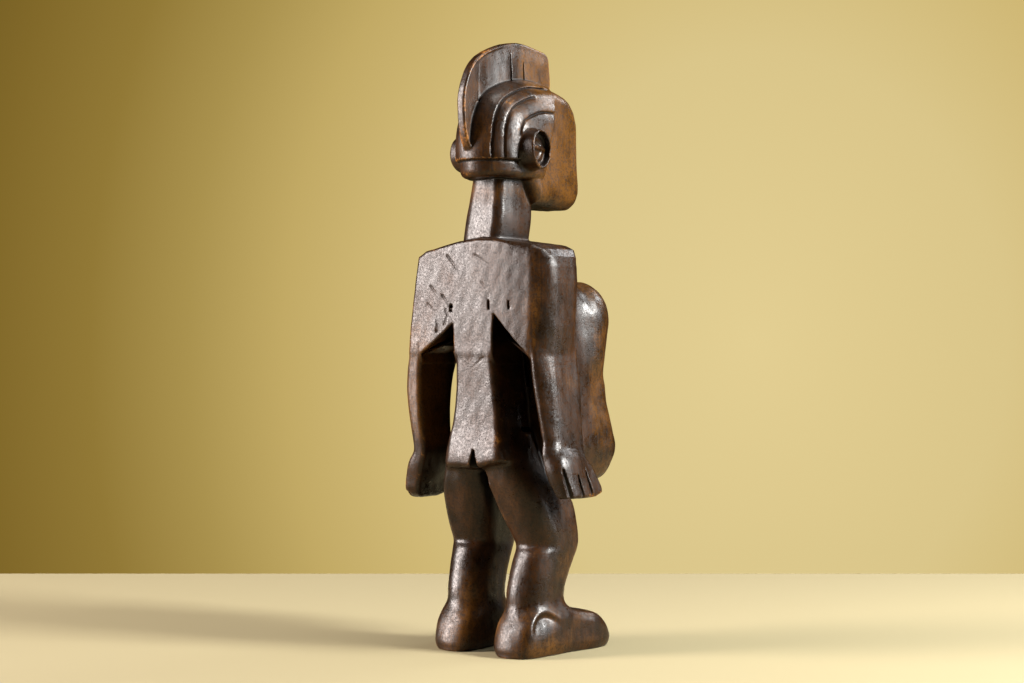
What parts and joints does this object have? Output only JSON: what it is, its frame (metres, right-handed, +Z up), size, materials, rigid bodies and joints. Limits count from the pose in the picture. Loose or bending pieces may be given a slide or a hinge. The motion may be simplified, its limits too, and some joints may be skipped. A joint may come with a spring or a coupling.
{
  "type": "carved wooden figure",
  "caption": "Standing carved wooden fertility figure with a sagittal crest, rolled coiffure, full belly and hands hanging free of a narrow trunk.",
  "frame": {"origin": "on the floor under the middle of the figure's bounding box", "axes": "+Z up; the figure faces -Y, and its own left side is towards +X"},
  "size_m": [0.156, 0.1368, 0.4501],
  "materials": {
    "dark_wood": "waxed dark patina, satin, worn to orange-brown on edges"
  },
  "bodies": {
    "root": {"crest": "dark_wood", "hair_cap": "dark_wood", "face": "dark_wood", "left_ear": "dark_wood", "right_ear": "dark_wood", "neck": "dark_wood", "shoulders": "dark_wood", "chest": "dark_wood", "left_breast": "dark_wood", "right_breast": "dark_wood", "belly": "dark_wood", "trunk": "dark_wood", "pelvis": "dark_wood", "left_arm": "dark_wood", "right_arm": "dark_wood", "left_hand": "dark_wood", "right_hand": "dark_wood", "left_thigh": "dark_wood", "right_thigh": "dark_wood", "left_calf": "dark_wood", "right_calf": "dark_wood", "left_foot": "dark_wood", "right_foot": "dark_wood"}
  },
  "joints": []
}
